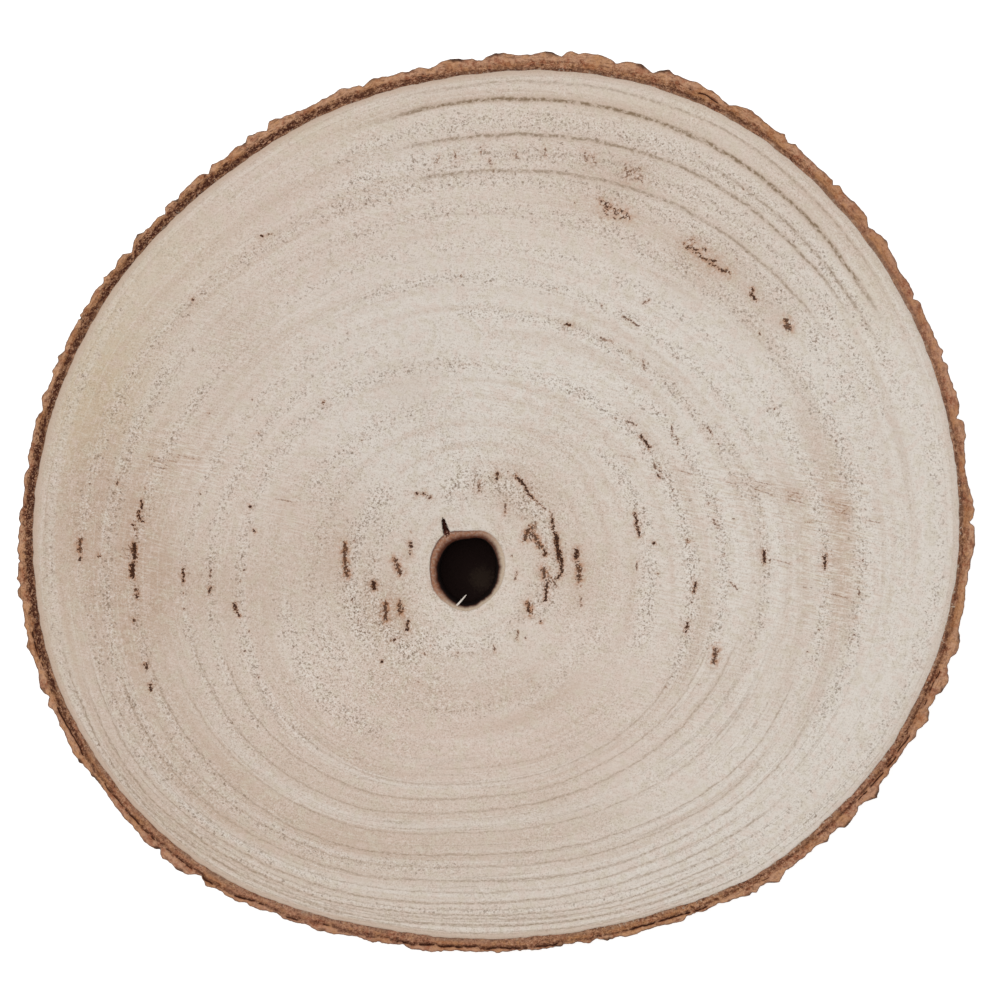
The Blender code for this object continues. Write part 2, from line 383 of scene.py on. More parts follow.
# Slow changes of tone, read off the photo: pixel, half width and half height in pixels, amount
tones = {
    "pale": (
        (560, 330, 270, 110, 0.75), (780, 420, 170, 150, 0.8), (910, 600, 70, 190, 1.0),
        (820, 740, 130, 120, 0.85), (640, 880, 180, 60, 0.5), (470, 640, 80, 60, 0.6),
        (460, 420, 140, 60, 0.7), (480, 520, 60, 50, 0.5), (380, 300, 110, 80, 0.45),
        (700, 600, 120, 120, 0.45), (430, 890, 130, 40, 0.35), (880, 330, 60, 70, 0.5),
        (780, 270, 90, 40, 0.3), (420, 480, 60, 50, 0.4), (680, 810, 130, 80, 0.4), (420, 150, 90, 40, 0.7),
        (350, 450, 50, 60, 0.4), (370, 150, 60, 30, 0.4), (590, 145, 60, 25, 0.4), (805, 550, 70, 60, 0.6),
        (860, 330, 70, 60, 0.5), (720, 865, 90, 40, 0.5), (170, 640, 60, 50, 0.3), (130, 770, 50, 60, 0.3),
        (650, 150, 50, 30, 0.5), (655, 270, 40, 30, 0.3), (890, 350, 40, 60, 0.4), (710, 860, 70, 40, 0.4),
    ),
    "tan": (
        (125, 560, 50, 85, 1.0), (335, 550, 45, 50, 0.5), (230, 590, 75, 45, 0.55), (90, 500, 40, 60, 0.5),
        (620, 180, 60, 45, 0.6), (710, 262, 50, 35, 0.75), (770, 310, 40, 35, 0.5),
        (560, 150, 150, 35, 0.15), (545, 560, 35, 35, 0.35), (390, 610, 28, 30, 0.8),
        (230, 790, 110, 60, 0.5), (350, 840, 120, 35, 0.4), (160, 700, 60, 80, 0.25),
        (840, 520, 16, 60, 0.45), (843, 610, 16, 45, 0.35), (790, 490, 30, 25, 0.15),
        (510, 490, 50, 20, 0.45), (590, 570, 35, 45, 0.4), (820, 190, 70, 60, 0.35),
        (530, 510, 35, 30, 0.35), (110, 640, 70, 100, 0.4), (180, 780, 90, 90, 0.3),
        (420, 860, 180, 50, 0.35), (130, 430, 80, 90, 0.3), (410, 685, 60, 30, 0.5),
        (530, 690, 60, 30, 0.5), (590, 810, 60, 40, 0.3), (530, 450, 40, 30, 0.3), (410, 390, 40, 40, 0.3),
        (230, 330, 50, 40, 0.35), (380, 750, 60, 30, 0.25), (530, 810, 50, 40, 0.3), (50, 545, 14, 60, 0.4),
        (761, 488, 11, 6, 0.5), (796, 494, 10, 8, 0.6), (844, 509, 11, 9, 0.6),
    ),
    "yellow": (
        (105, 385, 55, 110, 1.1), (170, 250, 70, 60, 0.45), (80, 440, 30, 60, 0.6), (870, 290, 30, 60, 0.4),
        (200, 870, 90, 50, 0.35), (690, 110, 120, 20, 0.35), (300, 130, 110, 25, 0.5),
        (60, 620, 25, 90, 0.4), (128, 605, 12, 45, 0.9), (120, 540, 40, 60, 0.5), (806, 530, 6, 50, 0.45),
        (847, 560, 8, 45, 0.45),
    ),
    "pink": (
        (450, 735, 130, 55, 0.85), (290, 220, 130, 90, 0.6), (600, 740, 90, 60, 0.3),
        (300, 700, 80, 60, 0.45), (560, 620, 60, 60, 0.3), (270, 480, 90, 90, 0.35),
        (560, 140, 140, 50, 0.3), (100, 760, 40, 60, 0.3), (630, 640, 60, 70, 0.3), (640, 240, 60, 50, 0.3),
    ),
    "fuzzy": (
        (410, 640, 70, 60, 0.7), (470, 470, 110, 60, 0.5), (580, 600, 60, 60, 0.3), (330, 690, 90, 60, 0.4),
    ),
    "sawn": (
        (185, 462, 75, 35, 1.0), (140, 560, 30, 50, 0.7), (740, 495, 90, 45, 0.9), (840, 520, 40, 90, 0.9),
        (830, 600, 50, 50, 0.8), (690, 590, 60, 60, 0.6), (300, 520, 60, 60, 0.4), (380, 190, 60, 50, 0.6),
        (560, 400, 120, 60, 0.35), (250, 330, 80, 60, 0.35), (700, 700, 80, 50, 0.3),
    ),
}


def toneMap(spots, x, y):
    # the sum of soft round spots, each amount * exp(-distance^2 in half widths)
    total = np.zeros_like(x)
    for px, py, halfWide, halfHigh, amount in spots:
        sx, sy = fromPhoto(px, py)
        wide, high = halfWide * photo["pixelSize"], halfHigh * photo["pixelSize"]
        total += amount * np.exp(-((x - sx) / wide) ** 2 - ((y - sy) / high) ** 2)
    return np.minimum(total, 1.2)


def withinTurns(turn, start, end, soft=6.0):
    # 1 from start to end in degrees, falling to 0 over soft degrees past each
    middle, half = (start + end) / 2, (end - start) / 2
    away = np.abs((turn - middle + 180) % 360 - 180)
    return 1 - smooth(half, half + soft, away)


def gapMaps(x, y, turn, radius):
    # for every point: its place along and across the nearest gap and that gap's half length; the gap's
    # half width, darkness and raggedness; the brown about it; and how far off it is. Each run is cut into
    # straight pieces in the unrolled plane (turn * radius, radius), so it bends with the rings
    nearest = np.full(x.shape, np.inf)
    across = np.zeros(x.shape + (3,))
    manner = np.zeros(x.shape + (3,))
    stain = np.zeros(x.shape)
    for sort in gaps.values():
        for run in sort["runs"]:
            ends = [fromPhoto(*p) for p in run]
            for (ax, ay), (bx, by) in zip(ends, ends[1:] or ends):
                aTurn, bTurn = (math.degrees(math.atan2(py, px)) for px, py in ((ax, ay), (bx, by)))
                aRadius, bRadius = math.hypot(ax, ay), math.hypot(bx, by)
                widen = (bTurn - aTurn + 180) % 360 - 180
                middleTurn, middleRadius = aTurn + widen / 2, (aRadius + bRadius) / 2
                dx, dy = math.radians(widen) * middleRadius, bRadius - aRadius
                halfLong = math.hypot(dx, dy) / 2
                ux, uy = (dx / halfLong / 2, dy / halfLong / 2) if halfLong > 0.01 else (1.0, 0.0)
                u = np.radians((turn - middleTurn + 180) % 360 - 180) * middleRadius
                v = radius - middleRadius
                along, aside = u * ux + v * uy, -u * uy + v * ux
                past = np.hypot(np.maximum(np.abs(along) - halfLong, 0), aside)
                stain = np.maximum(stain, sort["stain"] * np.exp(-(past / 1.9) ** 2))
                closer = past - sort["halfWidth"] < nearest
                nearest = np.where(closer, past - sort["halfWidth"], nearest)
                here = np.stack([along, aside, np.full(x.shape, halfLong)], -1)
                across = np.where(closer[..., None], here, across)
                manner[closer] = (sort["halfWidth"], sort["dark"], sort["dotted"])
    return across, manner, stain, nearest


def lineMap(level, turn):
    # how dark and how wide the nearest ring line is at every point; lines with one number share their ring
    nearest = np.full(level.shape, np.inf)
    dark = np.zeros(level.shape)
    half = np.full(level.shape, 0.3)
    for number, start, end, halfWidth, darkness in ringLines:
        away = np.abs(level - number)
        shown = withinTurns(turn, start, end, 10.0) * darkness
        better = (away < nearest) | ((away == nearest) & (shown > dark))
        nearest = np.where(better, away, nearest)
        dark = np.where(better, shown, dark)
        half = np.where(better, halfWidth, half)
    return dark, half


def ringMap(table, level, turn):
    # the strongest of a table's rings at every point: amount * exp(-distance^2 in half widths), in its turns
    total = np.zeros(level.shape)
    for number, start, end, halfWidth, amount in table:
        ring = amount * withinTurns(turn, start, end, 12) * np.exp(-((level - number) / halfWidth) ** 2)
        total = np.maximum(total, ring)
    return total


def makeWood():
    # Profile, from the middle of the recess out along the underside, up the edge, in along the top face to
    # the hollow's mouth, down its wall and in to the middle of the pith plate. On the faces each row follows
    # one growth ring
    steps = wood["steps"]
    turn = (np.arange(steps) * 360 / steps)[None, :]
    around = np.radians(turn)
    curves = growthCurves(turn[0])
    throat = roundCurve(wood["throat"], turn[0])[None, :]
    edge = curves[-1][None, :]

    underLevels = np.linspace(mouthLevel, edgeLevel, wood["undersideRows"])
    underside = ringRadius(underLevels, curves)
    underside[0] = throat[0] * wood["recessMouth"]
    innerLevels = np.linspace(mouthLevel, wood["innerLevel"], wood["innerRows"], endpoint=False)
    outerLevels = np.linspace(wood["innerLevel"], edgeLevel, wood["outerRows"])
    topLevels = np.concatenate([innerLevels, outerLevels])[::-1]
    top = ringRadius(topLevels, curves)

    rounding = wood["edgeRounding"]
    edgeHeights = [rounding, topHeight * 0.35, topHeight * 0.7, topHeight - rounding]
    wallDrops = np.array([*wood["wallDrops"], wood["hollowDepth"]])
    mouth = top[-1][None, :]
    throatShare = smooth(0, 3.0, wallDrops)[:, None] ** 0.8
    narrowing = 1 - 0.08 * wallDrops[:, None] / wood["hollowDepth"]
    wallRadius = mouth * (1 - throatShare) + throat * narrowing * throatShare
    wallRadius[-1] *= 0.97

    recess = wood["recessDepth"]
    recessRadius, recessHeight, recessInside = np.array(wood["recessRows"]).T
    plateRows = np.array(wood["plateRows"])
    radius = np.vstack([
        throat * recessRadius[:, None],
        underside[:-1], underside[-1:] - rounding,
        np.repeat(edge, len(edgeHeights), 0),
        top[:1] - rounding, top[1:],
        wallRadius,
        throat * plateRows[:, None],
    ])
    rows = radius.shape[0]
    height = np.concatenate([
        recess * recessHeight,
        np.zeros(len(underLevels)),
        edgeHeights,
        np.full(len(topLevels), topHeight),
        topHeight - wallDrops,
        np.full(len(plateRows), topHeight - wood["hollowDepth"]),
    ])[:, None] * np.ones((1, steps))
    level = np.concatenate([
        np.full(len(recessHeight), mouthLevel), underLevels, np.full(len(edgeHeights), edgeLevel), topLevels,
        np.full(len(wallDrops) + len(plateRows), mouthLevel),
    ])[:, None] * np.ones((1, steps))
    underFirst = len(recessHeight)
    underLast = underFirst + len(underLevels)
    topFirst = underLast + len(edgeHeights)
    topLast = topFirst + len(topLevels)
    onTop = np.zeros((rows, 1), bool)
    onTop[topFirst:topLast] = True
    onUnder = np.zeros((rows, 1), bool)
    onUnder[underFirst:underLast] = True

    # how deep each point lies inside the hollow, or above the mouth of the recess: the material paints the
    # hollow's shade from it
    inside = np.zeros((rows, 1))
    inside[topLast:topLast + len(wallDrops), 0] = wallDrops
    inside[topLast + len(wallDrops):] = wood["hollowDepth"]
    inside[:underFirst, 0] = recessInside
    inside = inside * np.ones((1, steps))

    # ragged fibres round the mouth and on the hollow's wall
    wave = lumpsAt(np.cos(around) * 30, np.sin(around) * 30, height * 0.8, 2.2, 11)
    nearMouth = np.exp(-((level - mouthLevel) / 1.5) ** 2) * (onTop | (inside > 0))
    radius = radius + wood["mouthRagged"] * wave * nearMouth

    torn = lumpsAt(np.cos(around) * 140, np.sin(around) * 140, height * 0.1, 3.2, 12)
    torn = torn + 0.8 * lumpsAt(np.cos(around) * 140, np.sin(around) * 140, height * 0.1, 1.3, 13)
    radius = radius + wood["edgeTorn"] * torn * smooth(edgeLevel - 0.8, edgeLevel, level)
    x, y = radius * np.cos(around), radius * np.sin(around)

    # relief of the sawn face: slow saw waves, fine fuzz, ring steps, gaps and the crack
    ringStep = np.sin(level * 1.9 + 0.8 * np.sin(around * 3)) * 0.5
    relief = wood["sawWave"] * lumpsAt(x, y, 0, 14.0, 3) + wood["ringRelief"] * ringStep
    relief = relief + wood["fuzz"] * lumpsAt(x, y, 0, 1.7, 5)
    across, manner, stain, nearest = gapMaps(x, y, turn * np.ones((rows, 1)), radius)
    pit = manner[..., 1] * (1 - smooth(-0.3, 0.8, nearest))
    relief = relief - wood["gapDepth"] * pit
    reachOut = np.clip((radius - mouth) / (wood["crackTip"] - mouth), 0, 1)
    crackTurn = wood["crackTurn"] + wood["crackLean"] * reachOut
    aside = np.radians((turn - crackTurn + 180) % 360 - 180) * radius
    crackWidth = wood["crackHalfWidth"] * (1 - reachOut) ** 0.3 + 0.05
    crack = (1 - smooth(0.35, 1.1, np.abs(aside) / crackWidth)) * (radius < wood["crackTip"] + 0.3)
    wallCrack = crack * (1 - smooth(0.3, 1.4, inside))
    height = height + np.where(onTop, relief - wood["crackDepth"] * crack, 0)
    height = height - np.where(onUnder, 0.5 * relief - 0.05, 0) * (level < edgeLevel - 1)
    height = np.where(onUnder, np.maximum(height, 0.0), height)
    pushOut = np.where(inside > 0, 1.2 * wallCrack, 0)
    x, y = x + pushOut * np.cos(around), y + pushOut * np.sin(around)

    poles = [(0, 0, recess), (0, 0, topHeight - wood["hollowDepth"])]
    piece = closedSkin("sawn_wood", x, y, height, poles)

    # what the material reads
    turns = turn * np.ones((rows, 1))
    lineDark, lineHalf = lineMap(level, turns)
    for name, values, atPoles in (
        ("paleRing", ringMap(paleRings, level, turns), 0),
        ("tanRing", ringMap(tanRings, level, turns), 0),
        ("vessels", ringMap(vesselRows, level, turns), 0),
        ("growth", level, mouthLevel),
        ("fromBark", edge - radius, 100),
        ("stain", stain * onTop, 0),
        ("crack", np.maximum(crack * onTop, wallCrack * (inside > 0)), 0),
        ("gapPlace", across, (0, 0, 0)),
        ("gapManner", manner, (0, 0, 0)),
        ("gapNear", np.where(onTop, nearest, 9.0), 9),
        ("lineDark", lineDark, 0),
        ("lineHalf", lineHalf, 0.3),
        ("ringSpread", ringSpread(level, curves), 1),
        *((tone, toneMap(spots, x, y), 0) for tone, spots in tones.items()),
    ):
        paint(piece, name, values, [atPoles, atPoles])
    paint(piece, "inside", inside, [8.0, wood["hollowDepth"]])
    return piece


splinter = {
    "from": (455.8, 606.8),   # photo pixels of its ends
    "to": (466.2, 595.0),
    "below": (1.9, 0.7),      # how far below the face they lie
    "halfWidth": 0.36,
    "steps": 12,
    "rows": 9,
}


def makeSplinter():
    # a splinter left standing from the hollow's edge: a flattened round section carried along a straight
    # line, tapering as the square root of what is left of it
    share = np.linspace(0, 1, splinter["rows"])[:, None]
    drops = zip(("from", "to"), splinter["below"])
    ends = [np.array([*fromPhoto(*splinter[end]), topHeight - drop]) for end, drop in drops]
    axis = (ends[1] - ends[0]) / np.linalg.norm(ends[1] - ends[0])
    side = np.cross(axis, (0, 0, 1))
    side = side / np.linalg.norm(side)
    up = np.cross(side, axis)
    around = np.linspace(0, 2 * math.pi, splinter["steps"], endpoint=False)[None, :]
    half = splinter["halfWidth"] * (0.25 + 0.75 * np.sqrt(1 - share * 0.98))
    middle = ends[0] + share[..., None] * (ends[1] - ends[0])
    ring = half[..., None] * (np.cos(around)[..., None] * side - 0.6 * np.sin(around)[..., None] * up)
    points = middle + ring
    poles = [ends[0] - 0.05 * axis, ends[1] + 0.05 * axis]
    x, y, z = np.moveaxis(points, -1, 0)
    piece = closedSkin("pale_splinter", x, y, z, poles)
    for name, value in (("growth", 40.0), ("fromBark", 60.0), ("gapNear", 9.0), ("pale", 1.2)):
        paint(piece, name, np.full(x.shape, value), [value, value])
    return piece


# Shader nodes

class Wire:
    # a node's output, to be used in sums as a number is
    def __init__(self, socket):
        self.socket = socket
        self.tree = socket.id_data

    def __add__(self, other):
        return calc("ADD", self, other)

    def __sub__(self, other):
        return calc("SUBTRACT", self, other)

    def __mul__(self, other):
        return calc("MULTIPLY", self, other)

    def __truediv__(self, other):
        return calc("DIVIDE", self, other)

    def __abs__(self):
        return calc("ABSOLUTE", self)


def addNode(tree, kind, inputs=None, **settings):
    # one node with its settings, and its inputs each set to a value or wired to another node
    node = tree.nodes.new(kind)
    for name, value in settings.items():
        setattr(node, name, value)
    for key, value in (inputs or {}).items():
        if isinstance(value, Wire):
            tree.links.new(value.socket, node.inputs[key])
        else:
            node.inputs[key].default_value = value
    return node


def calc(operation, first, *others):
    node = addNode(first.tree, "ShaderNodeMath", dict(enumerate((first, *others))), operation=operation)
    return Wire(node.outputs[0])


def vectorCalc(operation, vector, other, output="Vector"):
    node = addNode(vector.tree, "ShaderNodeVectorMath", {0: vector, 1: other}, operation=operation)
    return Wire(node.outputs[output])


def scaled(vector, scale):
    return vectorCalc("MULTIPLY", vector, scale)


def parts(vector):
    # its x, y and z, or a colour's red, green and blue
    return [Wire(socket) for socket in addNode(vector.tree, "ShaderNodeSeparateXYZ", {0: vector}).outputs]


def noise(vector, size=1.0, detail=1.0, rough=0.5, flat=False):
    # flat noise reads x and y alone, so it runs straight down through the wood as its fibres do
    inputs = {"Vector": vector, "Scale": 1.0 / size, "Detail": detail, "Roughness": rough}
    node = addNode(vector.tree, "ShaderNodeTexNoise", inputs, noise_dimensions="2D" if flat else "3D")
    return Wire(node.outputs["Fac"])


def ease(value, low, high, start=0.0, end=1.0):
    # start at low, end at high, and a smooth step between them; low may be the larger
    inputs = {"Value": value, "From Min": low, "From Max": high, "To Min": start, "To Max": end}
    node = addNode(value.tree, "ShaderNodeMapRange", inputs, interpolation_type="SMOOTHSTEP")
    return Wire(node.outputs[0])


def contour(value, middle, half):
    # 1 where the value is middle, falling to 0 at half away from it
    return ease(abs(value - middle), half, half * 0.15)


def blend(under, over, share):
    # under where share is 0, over where it is 1; each is (red, green, blue) or another node's output
    node = addNode(share.tree, "ShaderNodeMix", data_type="RGBA")
    sockets = {socket.identifier: socket for socket in (*node.inputs, *node.outputs)}
    for name, value in (("Factor_Float", share), ("A_Color", under), ("B_Color", over)):
        if isinstance(value, Wire):
            share.tree.links.new(value.socket, sockets[name])
        else:
            sockets[name].default_value = (*value, 1.0)
    return Wire(sockets["Result_Color"])


def layered(shade, finish, *layers):
    # the shade under layers of the finish's colours, each (the colour's name, its share)
    for name, share in layers:
        shade = blend(shade, finish[name], share)
    return shade


def painted(tree, name, output="Fac"):
    return Wire(addNode(tree, "ShaderNodeAttribute", attribute_name=name).outputs[output])


def colour(*screen):
    # red, green and blue as screens give them, 0 to 255, turned to light values
    shares = (value / 255 for value in screen)
    return tuple(c / 12.92 if c <= 0.04045 else ((c + 0.055) / 1.055) ** 2.4 for c in shares)


def speckleGroup():
    # fine loose fibres: dark and pale flecks of one size, with their height. Used by the wood and the bark
    group = bpy.data.node_groups.new("loose_fibres", "ShaderNodeTree")
    group.interface.new_socket("Place", in_out="INPUT", socket_type="NodeSocketVector")
    for name in ("Size", "Contrast"):
        group.interface.new_socket(name, in_out="INPUT", socket_type="NodeSocketFloat").default_value = 1.0
    for name in ("Dark", "Pale", "Height"):
        group.interface.new_socket(name, in_out="OUTPUT", socket_type="NodeSocketFloat")
    place, size, contrast = (Wire(socket) for socket in list(addNode(group, "NodeGroupInput").outputs)[:3])
    fibres = noise(vectorCalc("DIVIDE", place, size), rough=0.6)
    dark = ease(fibres, 0.48, 0.27)
    pale = ease(fibres, 0.54, 0.72)
    outputs = {"Dark": dark * contrast, "Pale": pale * contrast, "Height": pale - dark}
    addNode(group, "NodeGroupOutput", outputs)
    return group


def speckles(place, size, contrast=1.0):
    inputs = {"Place": place, "Size": size, "Contrast": contrast}
    node = addNode(place.tree, "ShaderNodeGroup", inputs, node_tree=looseFibres)
    return {socket.name: Wire(socket) for socket in node.outputs}


woodFinish = {
    "fresh": colour(217, 202, 188),
    "pale": colour(223, 214, 204),
    "tan": colour(196, 171, 151),
    "yellow": colour(206, 187, 159),
    "olive": colour(207, 195, 174),
    "pink": colour(216, 194, 181),
    "line": colour(138, 116, 92),
    "vessel": colour(112, 88, 66),
    "gap": colour(46, 20, 9),
    "cut": colour(150, 96, 54),
    "stain": colour(176, 120, 80),
    "fleck": colour(240, 233, 224),
    "lining": colour(170, 118, 90),
    "liningPale": colour(208, 186, 162),
    # painted shade: the lining's thin step shadow, and its wall darkening further down the hollow
    "liningShade": colour(84, 38, 22),
    # painted shade: the near black deep in the hollow, and a paler patch in it
    "inside": colour(30, 14, 10),
    "paleSpot": colour(50, 37, 28),
    "crack": colour(64, 26, 15),
    "roughness": 0.86,
}


def newMaterial(name, roughness):
    material = bpy.data.materials.new(name)
    material.use_nodes = True
    shader = material.node_tree.nodes["Principled BSDF"]
    shader.inputs["Roughness"].default_value = roughness
    shader.inputs["Specular IOR Level"].default_value = 0.2
    return material, material.node_tree, shader


def placeNodes(tree, outward):
    # each point's place in mm from the pith; which way it lies from the pith; and its place in noise that
    # follows the rings, made of that way and of the painted distance outward
    coordinates = Wire(addNode(tree, "ShaderNodeTexCoord").outputs["Object"])
    centred = {"Vector": coordinates, "Location": (-pith[0], -pith[1], 0), "Scale": (1 / mm,) * 3}
    place = Wire(addNode(tree, "ShaderNodeMapping", centred).outputs[0])
    heading = vectorCalc("NORMALIZE", scaled(place, (1, 1, 0)), (0, 0, 0))
    right, up, _ = parts(heading)
    joined = addNode(tree, "ShaderNodeCombineXYZ", {0: right, 1: up, 2: painted(tree, outward)})
    return place, heading, Wire(joined.outputs[0])


def dress(shader, shade, height, strength, distance):
    # the shader's colour, and its bumps from a height
    inputs = {"Height": height, "Strength": strength, "Distance": distance * mm}
    bump = addNode(shade.tree, "ShaderNodeBump", inputs)
    shade.tree.links.new(shade.socket, shader.inputs["Base Color"])
    shade.tree.links.new(bump.outputs[0], shader.inputs["Normal"])


def woodMaterial():
    finish = woodFinish
    material, tree, shader = newMaterial("sawn_end_grain", finish["roughness"])
    place, heading, ringPlace = placeNodes(tree, "growth")
    right, up, _ = parts(heading)
    level = painted(tree, "growth")
    inside = painted(tree, "inside")
    fromBark = painted(tree, "fromBark")
    rows = painted(tree, "vessels")
    low = ease(up, -0.6, -0.1, 1.0, 0.0)        # 1 on the side of the slice with close rings
    outward = ease(level, 45, 75)
    slow = noise(place, 13.0, flat=True)

    # slow tones, a faint pink or olive cast in patches, and bands along the rings
    cast = noise(place, 4.5, rough=0.6, flat=True)
    bands = noise(scaled(ringPlace, (0.9, 0.9, 0.24)), rough=0.6)
    shade = layered(
        blend(finish["fresh"], finish["pale"], painted(tree, "pale")), finish,
        ("pink", painted(tree, "pink") * 0.8),
        ("yellow", painted(tree, "yellow") * 0.8),
        ("tan", painted(tree, "tan")),
        ("pale", painted(tree, "paleRing") * 0.8),
        ("tan", painted(tree, "tanRing")),
        ("pink", ease(cast, 0.53, 0.7) * 0.4),
        ("olive", ease(cast, 0.47, 0.3) * 0.4),
        ("tan", ease(bands, 0.5, 0.7) * 0.3),
        ("pale", ease(bands, 0.46, 0.3) * 0.22),
        ("pale", rows * 0.28),
    )

    # fine lines that follow the rings nearly all the way round, clearest on the low side
    fineRings = noise(scaled(ringPlace, (0.55, 0.55, 0.42)), rough=0.6)
    kept = ease(noise(scaled(ringPlace, (95, 95, 1.6)), 1.0, 2.0, 0.7), 0.36, 0.6, 0.12, 1.0)
    shade = layered(
        shade, finish,
        ("line", contour(fineRings, 0.5, 0.022) * (low * 0.26 + 0.07) * outward * kept),
        ("fleck", contour(fineRings, 0.545, 0.03) * outward * kept * 0.22),
    )

    # saw marks: short strokes at a slight slope, nearly everywhere
    turned = addNode(tree, "ShaderNodeMapping", {"Vector": place, "Rotation": (0, 0, math.radians(12))})
    strokes = noise(scaled(Wire(turned.outputs[0]), (0.2, 1.9, 0)), flat=True)
    dragged = painted(tree, "sawn") * 0.42 + 0.12

    # loose fibres at two sizes, thickest along the vessel rows
    fuzz = painted(tree, "fuzzy") * 0.9 + rows * 0.75 + slow * 0.8 + 0.12
    fine = speckles(place, 0.45, fuzz)
    coarse = speckles(place, 0.9, fuzz)
    shade = layered(
        shade, finish,
        ("tan", ease(strokes, 0.54, 0.7) * dragged),
        ("fleck", ease(strokes, 0.46, 0.3) * dragged * 0.7),
        ("line", fine["Dark"] * 0.5),
        ("fleck", fine["Pale"] * 0.4),
        ("vessel", coarse["Dark"] * (rows * 0.42 + 0.12)),
        ("fleck", coarse["Pale"] * 0.3),
    )

    # dark ring lines: distance to the nearest one in its half widths, broken up along its length
    wander = noise(scaled(ringPlace, (11, 11, 0.25)), rough=0.6) - 0.5
    jitter = noise(place, 1.3) - 0.5
    spread = calc("MAXIMUM", painted(tree, "ringSpread"), 0.2)
    moved = level + (wander * 1.4 + jitter * 0.9) / spread
    first, *others = sorted({line[0] for line in ringLines})
    nearest = abs(moved - first)
    for number in others:
        nearest = calc("MINIMUM", nearest, abs(moved - number))
    nearest = nearest * spread / calc("MAXIMUM", painted(tree, "lineHalf"), 0.15)
    lineDark = painted(tree, "lineDark")

    # open vessels: a soft dot in some of the cells, more of them in the rows
    inputs = {"Vector": place, "Scale": 1 / 1.35}
    cells = addNode(tree, "ShaderNodeTexVoronoi", inputs, voronoi_dimensions="2D").outputs
    pick, dotSize, dotTone = parts(Wire(cells["Color"]))
    present = ease(rows * ease(cast, 0.36, 0.56, 0.45, 1.25) + 0.05 - pick, 0.0, 0.12)
    fromDot = fine["Height"] * 0.3 + Wire(cells["Distance"]) - (dotSize * 0.22 + 0.08)
    shade = layered(
        shade, finish,
        ("tan", ease(nearest, 3.6, 0.5) * lineDark * 0.45),
        ("line", ease(nearest, 1.7, 0.2) * lineDark * kept),
        ("vessel", ease(fromDot, 0.15, -0.08) * present * (dotTone * 0.35 + 0.18)),
    )

    # gaps: how deep inside its run a point lies, and noise that eats into the run and spills out of it
    along, aside, halfLong = parts(painted(tree, "gapPlace", "Vector"))
    gapHalf, gapDark, gapDotted = parts(painted(tree, "gapManner", "Vector"))
    past = calc("MAXIMUM", abs(along) - halfLong, 0.0)
    depth = gapHalf - calc("SQRT", past * past + aside * aside)
    ragged = noise(place, 0.85, 2.0, 0.7, flat=True) - 0.52
    gapNoise = noise(place, 0.4) - 0.5
    field = ragged * (gapDotted * 2.4 + 0.6) + depth + gapNoise * 0.5
    nearGap = ease(painted(tree, "gapNear"), 1.3, 0.7)
    gapShare = ease(field, -0.08, 0.1) * nearGap
    patchy = ease(noise(place, 1.5, 2.0, flat=True), 0.42, 0.6, 0.3, 1.3)
    gapColour = layered(
        blend(finish["cut"], finish["gap"], ease(gapDark, 0.15, 0.85)), finish,
        ("gap", ease(ragged, 0.0, 0.1) * 0.8),
        ("cut", ease(gapNoise, 0.04, 0.2) * 0.5),
    )
    shade = layered(
        shade, finish,
        ("stain", painted(tree, "stain") * patchy * 0.6),
        ("stain", ease(field, -0.5, 0.05) * nearGap * gapDark * 0.6),
    )
    shade = blend(shade, gapColour, gapShare * (gapDark * 0.55 + 0.42))

    # the last tan layer under the bark, and its fine lines
    leftward = ease(right, 0.8, 0.0, 0.3, 1.0)
    rim = wander * 1.2 + fromBark
    rimLines = calc("MAXIMUM", contour(rim, 1.9, 0.32), contour(rim, 3.9, 0.3))

    # the hollow: a lining below its mouth, browner on one side; then painted shade: a thin shadow line along
    # the lining's step on one side, the wall darker further down, and near black deep inside with a paler
    # patch
    streaks = noise(scaled(ringPlace, (5, 5, 0)), 1.0, 2.0, 0.6) - 0.5
    side = vectorCalc("DOT_PRODUCT", heading, (-0.8, 0.6, 0), "Value")
    lined = (streaks * 0.8 + 1.0) * ease(side, -0.6, 0.5, 1.0, 0.95) * inside
    lining = blend(finish["liningPale"], finish["lining"], ease(side, -0.5, 0.5))
    shade = layered(
        shade, finish,
        ("tan", ease(fromBark, 2.6, 0.3) * leftward * 0.75),
        ("line", rimLines * kept * (low * 0.26 + 0.16)),
    )
    shade = blend(shade, lining, ease(lined, 0.0, 0.6) * ease(ragged, -0.25, 0.1, 0.65, 1.0))
    # painted shade: a thin shadow line under the lining's step on the upper left, and the wall darkening
    # deeper in the hollow
    shade = layered(
        shade, finish,
        ("liningShade", contour(lined, 0.35, 0.4) * ease(side, 0.2, 0.9) * 0.6),
        ("liningShade", ease(lined, 0.9, 2.3) * 0.92),
    )
    # painted shade: near black deep in the hollow, starting deeper on its upper side, with a paler patch to
    # the lower right
    fromPaleSpot = vectorCalc("DISTANCE", scaled(place, (1, 1, 0)), (4.5, -2.5, 0), "Value")
    hollowShade = blend(finish["inside"], finish["paleSpot"], ease(ragged * 6.0 + fromPaleSpot, 5.0, 1.5))
    shade = blend(shade, hollowShade, ease(lined * ease(up, 0.2, 0.9, 1.0, 0.4), 1.9, 2.9))
    shade = blend(shade, finish["crack"], ease(painted(tree, "crack") * (ragged * 4.0 + 1.0), 0.15, 0.4))
    dress(shader, shade, fine["Height"] * 0.45 + coarse["Height"] * 0.4 - gapShare * 1.4, 0.55, 0.12)
    return material


# Bark

